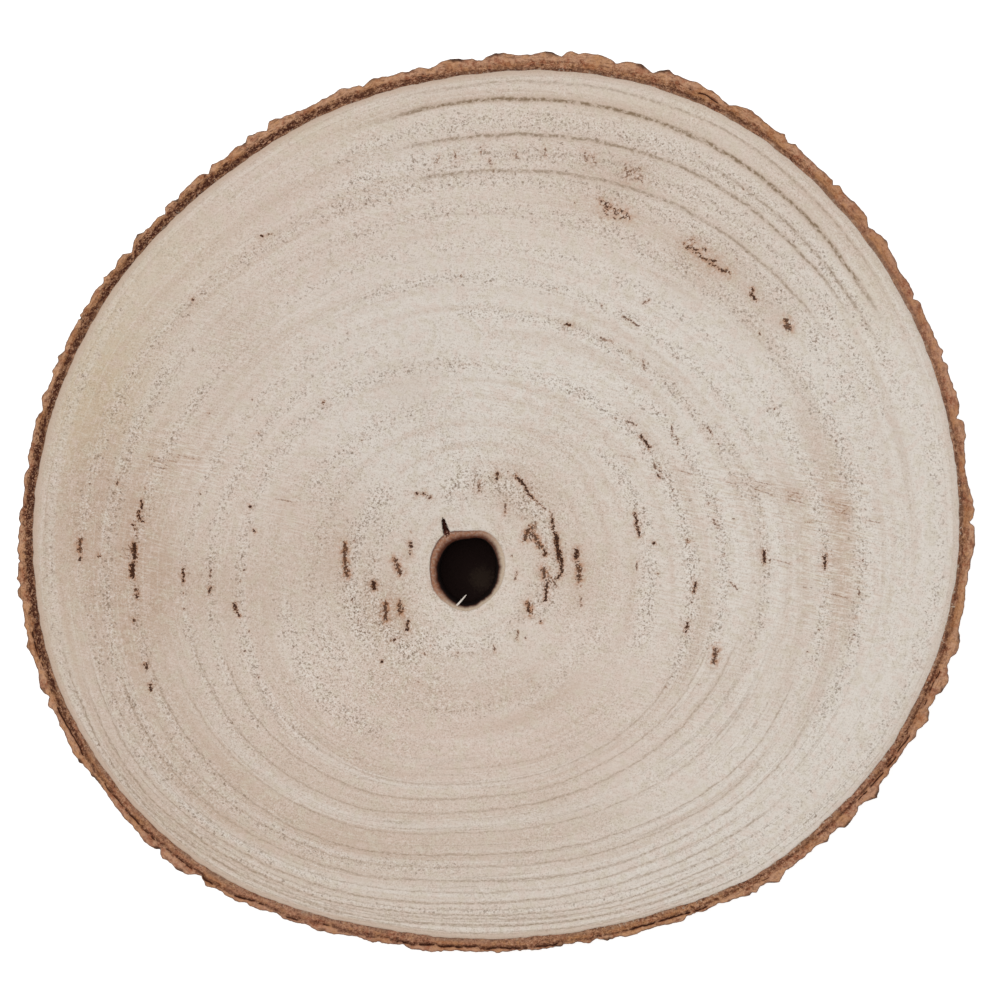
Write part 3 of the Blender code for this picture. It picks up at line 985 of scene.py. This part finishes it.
bark = {
    "steps": 1900,
    "meanRadius": 143,        # the noise is read on a circle of this radius
    # thickness to the crests, every 15 degrees
    "thickness": (
        5.2, 5.0, 5.3, 5.2, 5.4, 6.2, 6.0, 5.6, 5.7, 5.3, 5.4, 5.1,
        5.5, 5.6, 5.5, 6.2, 5.8, 5.6, 5.8, 6.0, 5.6, 5.9, 6.2, 5.8,
    ),
    "bast": 3.0,              # width of the dark, grainy inner bark
    "bastRows": (-0.35, 0.0, 0.14, 0.32, 0.5, 0.68, 0.84, 0.93, 1.0),     # in basts from the wood's edge
    "corkRows": (0.07, 0.18, 0.32, 0.47, 0.62, 0.76, 0.88, 0.95, 1.0),    # in shares of the outer bark
    "lowRows": (0.0, 0.2, 0.4, 0.6, 0.8, 0.94),               # underside, in shares of the way out
    "wallRows": (0.8, 0.5, 0.2),                              # wall against the wood, in its heights
    "faceRows": 22,
    "platesRound": 92,
    "plateHeight": 44.0,
    "notch": 1.3,             # how deep the gaps between plates may be
    "notchWidth": 0.13,       # in plates
    "plateStep": 0.9,         # how far neighbouring plates stand apart
    "plateTilt": 1.3,         # how far a plate's one side lifts
    "crown": 0.4,             # how far its sides fall away
    "crumble": 0.34,
    "nicks": 0.55,            # narrow cuts in the crests
    "belowWood": 0.1,
    "splitDepth": 0.8,
    # the darkest run of the inner bark, every 15 degrees: where it lies and its half width, in bast widths,
    # and its darkness
    "darkAt": (
        0.3, 0.27, 0.3, 0.3, 0.42, 0.16, 0.2, 0.5, 0.42, 0.42, 0.42, 0.42,
        0.42, 0.55, 0.8, 0.8, 0.85, 0.8, 0.86, 0.84, 0.85, 0.42, 0.65, 0.5,
    ),
    "darkHalf": (
        0.22, 0.18, 0.2, 0.2, 0.26, 0.2, 0.3, 0.42, 0.46, 0.46, 0.44, 0.44,
        0.44, 0.4, 0.18, 0.16, 0.2, 0.22, 0.22, 0.16, 0.13, 0.2, 0.15, 0.2,
    ),
    "darkShare": (
        0.6, 0.65, 0.25, 0.3, 0.7, 0.6, 0.6, 0.85, 1.0, 1.0, 0.9, 1.0,
        1.0, 0.95, 0.65, 0.75, 0.55, 0.65, 0.8, 0.6, 0.9, 0.5, 0.8, 0.8,
    ),
    # every 30 degrees: how flecked the inner bark is, how pink, and how far torn wood fibres reach over it
    "flecked": (0.8, 0.6, 0.9, 1.0, 1.1, 1.1, 1.1, 0.8, 0.7, 0.7, 1.0, 0.9),
    "pinkish": (0.2, 0.7, 0.2, 0.3, 0.1, 0.0, 0.1, 0.4, 0.7, 0.6, 0.1, 0.6),
    "torn": (0.8, 0.35, 0.45, 0.5, 0.45, 0.2, 0.2, 0.35, 0.35, 0.3, 0.6, 0.8),
    # where inner and outer bark have parted: from and to in degrees, how far
    "splits": (
        (62, 65, 0.7), (188, 192.5, 0.7), (198, 205.3, 0.8), (210.3, 214, 0.5), (215, 217.4, 0.8),
        (218, 220.6, 0.5), (224.3, 227, 0.5), (228.8, 230.6, 0.8), (234.6, 238.6, 0.8), (242.5, 245.5, 0.5),
        (248, 250.5, 0.6), (259.5, 269.5, 0.9), (270, 283.5, 0.8), (295, 303, 0.9), (304, 306, 0.7),
        (312, 314.5, 0.4), (330, 336.5, 0.6), (337.5, 339.5, 0.6), (343.5, 348, 0.6),
    ),
    # the cut top's outline, read off the photo: degrees, and how far the bark stands out from the wood
    "outline": (
        (0, 3.9), (1.3, 4.0), (1.9, 4.8), (4, 4.9), (5.2, 4.6), (5.6, 2.9), (6, 4.1), (7, 4.8), (8.2, 4.5),
        (10, 3.3), (11, 2.9), (12.5, 3.2), (14.2, 3.7), (15.4, 4.8), (17, 4.6), (17.5, 2.4), (17.9, 3.8),
        (18.6, 4.7), (20, 5.0), (21.4, 4.3), (22.6, 4.4), (23.4, 4.8), (23.9, 3.5), (24.4, 3.7),
        (24.8, 4.6), (26.2, 4.4), (26.8, 3.6), (27.2, 4.0), (28.4, 3.8), (30, 4.1), (30.6, 4.6),
        (31.1, 4.0), (31.5, 2.9), (31.9, 4.2), (33.2, 4.3), (34, 3.7), (36, 3.9), (37.7, 4.4), (38.2, 5.3),
        (40, 4.1), (40.6, 3.4), (41.6, 5.0), (42.4, 5.3), (44, 4.5), (45.2, 4.5), (46, 5.0), (46.6, 3.4),
        (47, 4.4), (47.6, 4.7), (49, 4.3), (51.6, 4.5), (52.5, 5.0), (53.2, 3.7), (54, 5.4), (54.6, 4.8),
        (56.4, 4.8), (57.4, 5.5), (58.2, 5.5), (59.2, 5.0), (60, 4.4), (60.6, 3.6), (61.6, 4.2),
        (62.4, 5.1), (64, 5.7), (64.9, 6.2), (65.6, 5.6), (67.4, 5.8), (68.1, 6.8), (68.9, 5.9),
        (69.6, 4.1), (70.2, 5.0), (70.9, 5.9), (72, 5.9), (73.2, 5.3), (73.7, 4.6), (74.2, 5.4),
        (75.2, 6.2), (77.2, 6.4), (77.8, 5.7), (78.6, 6.5), (79.2, 5.9), (79.6, 4.6), (80.4, 5.4),
        (81.5, 6.2), (82.2, 5.3), (83.6, 5.0), (85.2, 5.2), (85.8, 6.0), (86.9, 6.1), (87.7, 5.0),
        (88.4, 4.1), (88.9, 4.1), (89.4, 5.0), (90.6, 5.2), (92, 5.7), (92.8, 5.3), (93.6, 4.4),
        (94.3, 4.0), (95.6, 5.2), (96.2, 4.8), (96.6, 4.1), (97.4, 4.8), (99, 4.7), (100.8, 5.3),
        (101.6, 4.7), (102.1, 3.8), (102.8, 4.8), (104.7, 5.7), (105.6, 5.0), (109, 4.6), (112.3, 5.6),
        (113, 6.8), (113.8, 6.5), (114.4, 4.6), (114.9, 5.5), (116.8, 6.4), (117.3, 5.1), (118.6, 6.0),
        (120, 5.3), (121.4, 5.1), (122.1, 5.8), (122.7, 4.7), (123, 4.0), (123.4, 4.8), (124.1, 5.5),
        (127.2, 5.0), (127.7, 4.2), (128.4, 5.1), (129.7, 5.0), (130.1, 3.5), (131, 4.6), (133.6, 4.5),
        (134.3, 5.6), (135.2, 4.9), (135.8, 4.2), (136.4, 3.2), (137.4, 5.1), (138.4, 5.2), (139.2, 4.5),
        (141, 5.3), (141.5, 4.5), (142.2, 5.1), (144, 5.2), (144.5, 4.4), (145.4, 4.9), (146.5, 4.9),
        (146.7, 3.9), (147, 4.6), (150, 4.7), (151.2, 4.1), (152.3, 5.2), (152.8, 4.2), (154.2, 5.0),
        (154.5, 4.3), (156, 4.0), (157.8, 5.0), (158.6, 4.2), (159.1, 3.4), (160.4, 4.5), (163.2, 3.8),
        (165.2, 4.2), (166.4, 3.2), (167.4, 4.0), (171.2, 3.7), (173.2, 4.6), (174, 3.9), (175.4, 4.7),
        (178.3, 4.8), (178.6, 3.9), (178.9, 4.7), (180, 4.9), (180.8, 5.5), (181.7, 4.5), (182.4, 5.6),
        (183.1, 5.8), (183.7, 4.7), (186.2, 4.7), (186.9, 5.5), (187.7, 4.5), (188.8, 5.0), (189.6, 5.7),
        (190.6, 4.9), (193.4, 4.3), (195.3, 5.6), (196, 5.0), (196.6, 3.8), (197, 4.6), (197.7, 5.2),
        (198.6, 4.6), (202.6, 4.7), (204, 5.2), (206.2, 5.5), (206.5, 4.8), (208.6, 4.8), (210, 4.3),
        (214.4, 5.2), (218.4, 5.2), (220.2, 6.3), (221.6, 5.6), (222.1, 4.5), (222.6, 5.6), (223.2, 6.0),
        (224, 5.7), (225, 6.3), (226.2, 6.3), (227.4, 5.4), (228.8, 3.8), (229.4, 4.9), (230.2, 5.3),
        (235, 5.3), (236.4, 5.0), (238.4, 5.2), (240.4, 4.2), (242.8, 5.0), (244.2, 4.9), (245, 4.5),
        (246.4, 5.0), (250, 5.1), (253.2, 4.1), (254.3, 4.8), (255.6, 4.9), (256.4, 4.5), (258.6, 4.2),
        (260, 3.8), (261.6, 4.7), (264.2, 4.8), (268, 4.1), (270, 3.8), (273, 3.8), (274.4, 4.2),
        (276.2, 4.2), (277, 3.9), (278.8, 4.3), (281.8, 4.3), (282.6, 4.0), (284.1, 4.4), (284.6, 3.7),
        (287.2, 3.8), (288.1, 4.6), (289.4, 3.6), (290.9, 5.2), (291.8, 4.6), (292.8, 4.1), (293.4, 5.0),
        (295.2, 5.1), (295.8, 4.7), (298.2, 4.6), (299.6, 4.9), (301.8, 5.0), (302.6, 4.1), (303.8, 3.9),
        (304.9, 4.5), (306.4, 4.1), (307.1, 3.5), (308.4, 4.2), (310, 4.1), (311.1, 5.0), (311.7, 4.6),
        (312.1, 5.1), (313, 4.1), (314, 4.2), (315.2, 5.9), (316.2, 5.0), (317, 4.2), (322.4, 4.3),
        (323.3, 5.4), (324, 4.6), (325.4, 4.7), (325.9, 6.2), (326.5, 6.5), (328.6, 5.4), (329.1, 4.6),
        (330, 5.5), (331.2, 7.4), (332, 6.7), (332.6, 5.5), (333.6, 5.1), (334.4, 5.6), (335, 5.0),
        (338.8, 4.8), (340, 5.6), (340.6, 4.8), (341.6, 6.0), (342.2, 6.5), (343.1, 5.8), (343.6, 4.8),
        (345.2, 5.0), (345.8, 6.2), (346.8, 6.7), (347.8, 6.3), (348.2, 5.4), (349, 4.5), (350, 4.8),
        (350.5, 6.2), (351.2, 6.4), (352.6, 5.6), (353.1, 4.6), (355, 4.1), (356.1, 4.6), (357, 3.9),
        (358.8, 3.7),
    ),
    # its dark crests: degrees, half width in degrees, how dark
    "darkCrests": (
        (38.3, 0.3, 0.5), (68.6, 0.8, 0.9), (71, 0.6, 0.8), (80.8, 0.8, 0.9), (86.8, 1.0, 0.8),
        (91.2, 0.9, 1.0), (101, 0.5, 0.5), (117.4, 0.4, 0.7), (128, 0.4, 0.8), (134.3, 0.5, 0.8),
        (146.7, 0.2, 0.9), (152, 0.4, 0.6), (182.6, 0.5, 0.4), (189.7, 0.4, 0.4), (195.5, 0.4, 0.6),
        (206, 0.4, 1.0), (209, 0.9, 0.8), (221.7, 0.4, 1.0), (226, 0.6, 0.9), (248, 0.4, 0.6),
        (283.8, 0.8, 0.8), (291, 0.6, 0.8), (311.2, 0.4, 0.6), (314.6, 0.4, 0.7), (323.3, 0.4, 0.7),
        (326.4, 0.7, 0.9), (331.3, 0.9, 0.9), (342.8, 0.6, 0.6), (346, 0.6, 0.6), (352.4, 0.5, 0.6),
    ),
}


def plates(s, z, around):
    # bark plates: jittered cells round the log and up it. For every point, the distance to its plate's edge,
    # its place across the plate, and two random values of its plate
    best, second = np.full((2, *s.shape), np.inf)
    aside, tone, lift = np.zeros((3, *s.shape))
    cellS, cellZ = np.floor(s).astype(np.int64), np.floor(z).astype(np.int64)
    for ds in (-1, 0, 1):
        for dz in (-1, 0, 1):
            cs, cz = cellS + ds, cellZ + dz
            cell = np.stack([cs % around, cz, np.zeros_like(cs)], -1)
            away = s - (cs + 0.1 + 0.8 * chance(cell, 1))
            up = z - (cz + 0.1 + 0.8 * chance(cell, 2))
            distance = np.hypot(away, up)
            nearer = distance < best
            second = np.where(nearer, best, np.minimum(second, distance))
            best = np.where(nearer, distance, best)
            aside = np.where(nearer, away, aside)
            tone = np.where(nearer, chance(cell, 3), tone)
            lift = np.where(nearer, chance(cell, 4), lift)
    return second - best, aside, tone, lift


def rimShape(turn):
    # how far the cut top stands out from the wood: straight lines between the outline's points
    points = np.array(bark["outline"], float)
    return np.interp(turn, points[:, 0], points[:, 1], period=360)


def crestShade(turn, height):
    # soft dark spots on the outline's darkest crests, fading down the face
    dark = np.zeros(np.broadcast(turn, height).shape)
    for middle, half, tone in bark["darkCrests"]:
        away = np.abs((turn - middle + 180) % 360 - 180) / half
        dark = np.maximum(dark, tone * np.exp(-away ** 4) * np.exp(-((topHeight - height) / 6) ** 2))
    return dark


def makeBark():
    # Profile, from the inner edge of the underside out, up the bark's face, in along the cut top and down
    # the wall against the wood, closed on itself. The face is the outline at its top, and further down
    # it is the crests, less the steps, tilts, crowns and notches of the plates
    steps = bark["steps"]
    turn = (np.arange(steps) * 360 / steps)[None, :]
    around = np.radians(turn)
    cosine, sine = np.cos(around) * bark["meanRadius"], np.sin(around) * bark["meanRadius"]
    smoothEdge = roundCurve(growth["edge"], turn)
    edge = smoothEdge + edgeStrays(turn)
    thickness = roundCurve(bark["thickness"], turn)
    bast = bark["bast"] + 0.5 * lumpsAt(cosine, sine, 0, 11.0, 34)
    bast = bast + 0.45 * lumpsAt(cosine, sine, 0, 3.4, 35)
    bastRows = np.array(bark["bastRows"])[::-1, None]
    corkRows = np.array(bark["corkRows"])[::-1, None]
    lowRows = np.array(bark["lowRows"])[:, None]
    middleHeights = np.linspace(1.6, topHeight - 1.5, bark["faceRows"] - 4)
    faceHeights = np.array([0.25, 0.8, *middleHeights, topHeight - 0.8, topHeight - 0.25])[:, None]
    wallHeights = topHeight * np.array(bark["wallRows"])[:, None]

    # the face, plate by plate
    height = faceHeights * np.ones((1, steps))
    warp = lumpsAt(cosine, sine, height, 6.0, 21)
    s = turn / 360 * bark["platesRound"] + 0.25 * warp + 0.06 * lumpsAt(cosine, sine, height, 2.0, 22)
    wave = 0.35 * np.sin(around * 7)
    z = height / bark["plateHeight"] + 0.2 * lumpsAt(cosine, sine, height, 7.0, 23) + wave
    toEdge, aside, tone, lift = plates(s % bark["platesRound"], z, bark["platesRound"])
    notch = 1 - smooth(0.0, bark["notchWidth"], toEdge)
    notch = notch * (0.2 + 0.8 * smooth(-0.2, 0.5, lumpsAt(cosine, sine, height, 9.0, 27)))
    relief = bark["plateStep"] * (lift - 0.5) + bark["plateTilt"] * aside * (2 * tone - 0.9)
    relief = relief - bark["notch"] * notch - bark["crown"] * (2 * aside) ** 2 * 0.5
    relief = relief + 0.4 * lumpsAt(cosine, sine, height * 0.5, 11.0, 26)
    crumble = 0.6 * lumpsAt(cosine, sine, height * 0.5, 2.4, 24)
    crumble = crumble + 0.6 * lumpsAt(cosine, sine, height * 0.7, 1.1, 25)
    nicks = (1 - np.abs(lumpsAt(cosine, sine, height * 0.4, 2.9, 28))) ** 7
    relief = relief + bark["crumble"] * crumble - bark["nicks"] * nicks
    drop = 1 - height / topHeight
    atRim = smooth(0.92, 0.25, drop + 0.2 * lumpsAt(cosine, sine, height, 12.0, 29))
    rimOut = rimShape(turn + 1.2 * drop * lumpsAt(cosine, sine, height * 0.5, 8.0, 30)) + 0.5 * crumble
    bast = np.minimum(bast, smoothEdge + rimShape(turn) - edge - 0.6)
    outer = smoothEdge + rimOut * atRim + (thickness - 0.55 + relief) * (1 - atRim)
    outer = np.maximum(outer, edge + bast + 0.3)

    # the cut top, the wall against the wood and the underside
    rim, foot = outer[-1:], outer[:1]
    corkRadius = edge + bast + (rim - edge - bast) * corkRows
    bastRadius = edge + bast * bastRows
    inner = edge + bast * bastRows[-1:]
    lowRadius = inner + (foot - inner) * lowRows
    radius = np.vstack([lowRadius, outer, corkRadius, bastRadius, np.repeat(inner, len(wallHeights), 0)])
    rows, low, face = radius.shape[0], len(lowRows), len(faceHeights)
    height = np.vstack([
        np.zeros((low, steps)), height, np.full((len(corkRows) + len(bastRows), steps), topHeight),
        wallHeights * np.ones((1, steps)),
    ])
    onTop = np.zeros((rows, 1), bool)
    onTop[low + face:-len(wallHeights)] = True
    onFace = np.zeros((rows, 1), bool)
    onFace[low:low + face] = True
    across = (radius - edge) / bast                         # 0 at the wood, 1 where inner bark meets outer
    fromSkin = np.vstack([foot - lowRadius, np.zeros_like(outer), rim - radius[low + face:]])

    # grainy inner bark, smoother outer bark, a gap between them where they have parted
    split = np.zeros_like(turn)
    for start, end, amount in bark["splits"]:
        split = np.maximum(split, amount * withinTurns(turn, start, end, 0.5))
    ragged = lumpsAt(cosine, sine, 0, 1.7, 31)
    split = split * smooth(-0.5, 0.3, ragged + 0.35 * split)
    inSplit = split * (1 - smooth(0.02, 0.1, np.abs(across - 0.96 - 0.07 * ragged))) * onTop
    bySplit = split * (1 - smooth(0.04, 0.32, np.abs(across - 0.96 - 0.07 * ragged))) * onTop
    grain = lumpsAt(radius * np.cos(around), radius * np.sin(around), 0, 0.9, 33)
    cut = -bark["belowWood"] + 0.14 * grain * (0.3 + 0.7 * (across < 1)) - bark["splitDepth"] * inSplit
    cut = cut - 0.35 * (1 - smooth(0.0, 0.45, fromSkin)) - 0.25 * smooth(0.25, 0.0, across)
    height = height + np.where(onTop, cut, 0)
    underside = np.arange(rows)[:, None] < low
    height = height + np.where(underside, 0.06 + 0.05 * grain + 0.4 * (1 - smooth(0, 0.6, fromSkin)), 0)

    x, y = radius * np.cos(around), radius * np.sin(around)
    piece = closedSkin("bark_ring", x, y, height, joinRows=True)

    def overAll(values):
        # values of the face, carried in over the underside and the top from its first and last rows
        above = rows - low - face
        return np.vstack([np.repeat(values[:1], low, 0), values, np.repeat(values[-1:], above, 0)])

    whole = np.ones((rows, steps))
    crest = np.clip(0.5 + relief / 3.2, 0, 1)
    darkSpan = np.abs(across - roundCurve(bark["darkAt"], turn)) / roundCurve(bark["darkHalf"], turn)
    for name, values in (
        ("across", across),
        ("cutFace", 1 - onFace),
        ("fromSkin", fromSkin),
        # the notches, where the material paints shade
        ("furrow", overAll(notch) * onFace),
        ("plateTone", overAll(tone)),
        ("crest", overAll(crest)),
        ("crestDark", overAll(crestShade(turn, faceHeights))),
        ("split", np.clip(inSplit, 0, 1)),
        ("bySplit", bySplit),
        ("fromWood", radius - edge),
        ("darkSpan", darkSpan),
        *((name, roundCurve(bark[name], turn)) for name in ("darkShare", "flecked", "pinkish", "torn")),
    ):
        paint(piece, name, values * whole)
    return piece


barkFinish = {
    "inner": colour(163, 114, 79),
    "innerRed": colour(150, 80, 50),
    "innerDark": colour(66, 28, 13),
    "innerPink": colour(178, 126, 108),
    "innerGrey": colour(148, 122, 104),
    "rust": colour(150, 84, 44),
    "split": colour(66, 30, 15),
    "grain": colour(212, 166, 134),
    "outer": colour(201, 155, 122),
    "ochre": colour(188, 132, 82),
    "outerDark": colour(112, 70, 46),
    "fibre": colour(206, 188, 168),
    "skin": colour(132, 100, 79),
    "skinDark": colour(74, 54, 42),
    "skinEdge": colour(138, 112, 95),
    "skinWarm": colour(152, 108, 80),
    "skinPale": colour(168, 148, 129),
    # painted shade in the notches between plates; also the rim's dark crests
    "furrow": colour(50, 28, 18),
    "roughness": 0.9,
}


def barkMaterial():
    finish = barkFinish
    material, tree, shader = newMaterial("flaky_bark", finish["roughness"])
    place, _, ringPlace = placeNodes(tree, "fromWood")
    across = painted(tree, "across")
    darkShare = painted(tree, "darkShare")
    fleckedHere = painted(tree, "flecked")
    fine = speckles(place, 0.42)
    coarse = speckles(place, 0.85)
    soft = noise(place, 2.6, 2.0, 0.65)
    slow = noise(place, 9.0)
    flecks = noise(scaled(ringPlace, (105, 105, 1.15)), 1.0, 3.0, 0.75)
    streaks = noise(scaled(ringPlace, (60, 60, 1.3)), 1.0, 2.0, 0.65)

    # the cut face: grainy inner bark, paler outer bark, the dark run between or inside them, and torn wood
    # fibres that reach over it
    outerShare = ease((soft - 0.5) * 1.4 + across, 0.7, 1.2)
    greyed = ease(across, 0.6, 0.1) * ease(slow, 0.4, 0.6, 0.4, 1.0)
    flecked = fleckedHere * (outerShare * -0.5 + 1.0) * ease(slow, 0.6, 0.4, 0.6, 1.0)
    darkRun = ease(painted(tree, "darkSpan") + (streaks - 0.5) * 3.5, 1.3, 0.3)
    broken = ease(flecks, 0.66, 0.46, 0.3, 1.1)
    atWood = ease((flecks - 0.5) * 0.4 + across, 0.2, 0.04)
    fibres = noise(scaled(ringPlace, (130, 130, 0.5)), 1.0, 3.0, 0.75)
    torn = ease(ease(fibres, 0.5, 0.76) * 0.55 - 0.02 - across, 0.0, 0.06)
    cut = layered(
        blend(finish["inner"], finish["outer"], outerShare), finish,
        ("innerPink", painted(tree, "pinkish") * 0.6),
        ("innerRed", ease(soft, 0.5, 0.36) * 0.55),
        ("ochre", ease(slow, 0.47, 0.62) * 0.35),
        ("ochre", ease(soft, 0.52, 0.66) * 0.4),
        ("innerGrey", greyed * (fleckedHere * -0.8 + 1.25)),
        ("rust", painted(tree, "bySplit") * 0.55),
        ("outerDark", ease(streaks, 0.5, 0.66) * fleckedHere * 0.55),
        ("innerDark", ease(flecks, 0.5, 0.36) * flecked * 0.8),
        ("grain", ease(flecks, 0.54, 0.66) * flecked * 0.7),
        ("innerDark", darkRun * darkShare * broken),
        ("innerDark", fine["Dark"] * flecked * 0.5),
        ("grain", fine["Pale"] * flecked * 0.5),
        ("innerDark", atWood * darkShare * 0.22),
        ("fibre", torn * painted(tree, "torn") * 0.75),
    )

    # the face: brown skin streaked along the trunk, paler on the crests, with painted shade dark in the
    # notches
    drawn = noise(scaled(place, (1, 1, 0.22)), 1.5, 2.0, 0.6)
    skin = layered(
        blend(finish["skin"], finish["skinWarm"], painted(tree, "plateTone") * 0.7), finish,
        ("skinPale", ease(painted(tree, "crest"), 0.5, 0.85) * 0.5),
        ("skinPale", ease(drawn, 0.52, 0.72) * 0.4),
        ("skinDark", ease(drawn, 0.5, 0.32) * 0.7),
        ("skinDark", coarse["Dark"] * 0.4),
        ("grain", fine["Pale"] * 0.3),
        ("furrow", painted(tree, "furrow") * 0.75),
    )

    # where they meet: a grey rim, its dark crests, and the splits
    fromSkin = (soft - 0.5) * 1.2 + painted(tree, "fromSkin")
    shade = layered(
        blend(skin, cut, painted(tree, "cutFace")), finish,
        ("skinEdge", ease(fromSkin, 0.55, 0.15) * 0.32),
        ("furrow", ease(fromSkin, 1.3, 0.4) * painted(tree, "crestDark") * 0.85),
        ("split", ease(painted(tree, "split"), 0.1, 0.4) * 0.9),
    )
    dress(shader, shade, fine["Height"] * 0.5 + coarse["Height"] * 0.8, 0.7, 0.22)
    return material


# Studio

studio = {
    "lens": 120.0,
    "sensor": 36.0,
    "floorTone": 0.9,
    "floorHalf": 12.0,        # metres
    "floorRoughness": 0.9,
    "floorGlow": 0.55,
    "floorGap": 0.2,          # how far it lies below the slice
    "skyStrength": 0.62,
    "lampStrength": 24.0,
    "lampSize": 2.4,
    "lampPlace": (-0.5, 0.6, 2.2),
}


def makeStudio():
    # straight down on the middle of the photo, as far up as makes its pixels the right size on the top face
    wide = photo["pixelsWide"] * photo["pixelSize"] * mm
    aimX, aimY = fromPhoto(*photo["middlePixel"])
    cameraData = bpy.data.cameras.new("photo_camera")
    cameraData.lens = studio["lens"]
    cameraData.sensor_width = studio["sensor"]
    camera = bpy.data.objects.new("photo_camera", cameraData)
    above = wide * studio["lens"] / studio["sensor"]
    camera.location = ((aimX + pith[0]) * mm, (aimY + pith[1]) * mm, topHeight * mm + above)
    bpy.context.scene.collection.objects.link(camera)
    bpy.context.scene.camera = camera

    floorMesh = bpy.data.meshes.new("floor")
    half = studio["floorHalf"]
    below = sliceLow[2] - studio["floorGap"] * mm
    corners = [(side * half, end * half, below) for side, end in ((-1, -1), (1, -1), (1, 1), (-1, 1))]
    floorMesh.from_pydata(corners, [], [(0, 1, 2, 3)])
    floor = bpy.data.objects.new("floor", floorMesh)
    bpy.context.scene.collection.objects.link(floor)
    material, _, shader = newMaterial("studio_floor", studio["floorRoughness"])
    tone = studio["floorTone"]
    shader.inputs["Base Color"].default_value = (tone, tone, tone, 1)
    shader.inputs["Emission Color"].default_value = (1, 1, 1, 1)
    shader.inputs["Emission Strength"].default_value = studio["floorGlow"]
    floorMesh.materials.append(material)

    world = bpy.data.worlds.new("studio_light")
    world.use_nodes = True
    sky = world.node_tree.nodes["Background"]
    sky.inputs["Strength"].default_value = studio["skyStrength"]
    sky.inputs["Color"].default_value = (1, 1, 1, 1)
    bpy.context.scene.world = world
    lampData = bpy.data.lights.new("soft_lamp", "AREA")
    lampData.shape = "SQUARE"
    lampData.size = studio["lampSize"]
    lampData.energy = studio["lampStrength"]
    lamp = bpy.data.objects.new("soft_lamp", lampData)
    lamp.location = studio["lampPlace"]
    lamp.rotation_euler = (-lamp.location).to_track_quat("-Z", "Y").to_euler()
    bpy.context.scene.collection.objects.link(lamp)
    bpy.context.scene.view_settings.view_transform = "Standard"


looseFibres = speckleGroup()

woodPiece = makeWood()
woodPiece.data.materials.append(woodMaterial())
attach(woodPiece, "root")
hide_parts("wood_slice")
print("wood made:", len(woodPiece.data.polygons), "faces")

splinterPiece = makeSplinter()
splinterPiece.data.materials.append(woodPiece.data.materials[0])
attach(splinterPiece, "root")
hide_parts("wood_slice")
print("splinter made:", len(splinterPiece.data.polygons), "faces")

barkPiece = makeBark()
barkPiece.data.materials.append(barkMaterial())
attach(barkPiece, "root")
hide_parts("wood_slice")
print("bark made:", len(barkPiece.data.polygons), "faces")

makeStudio()
print("studio made")
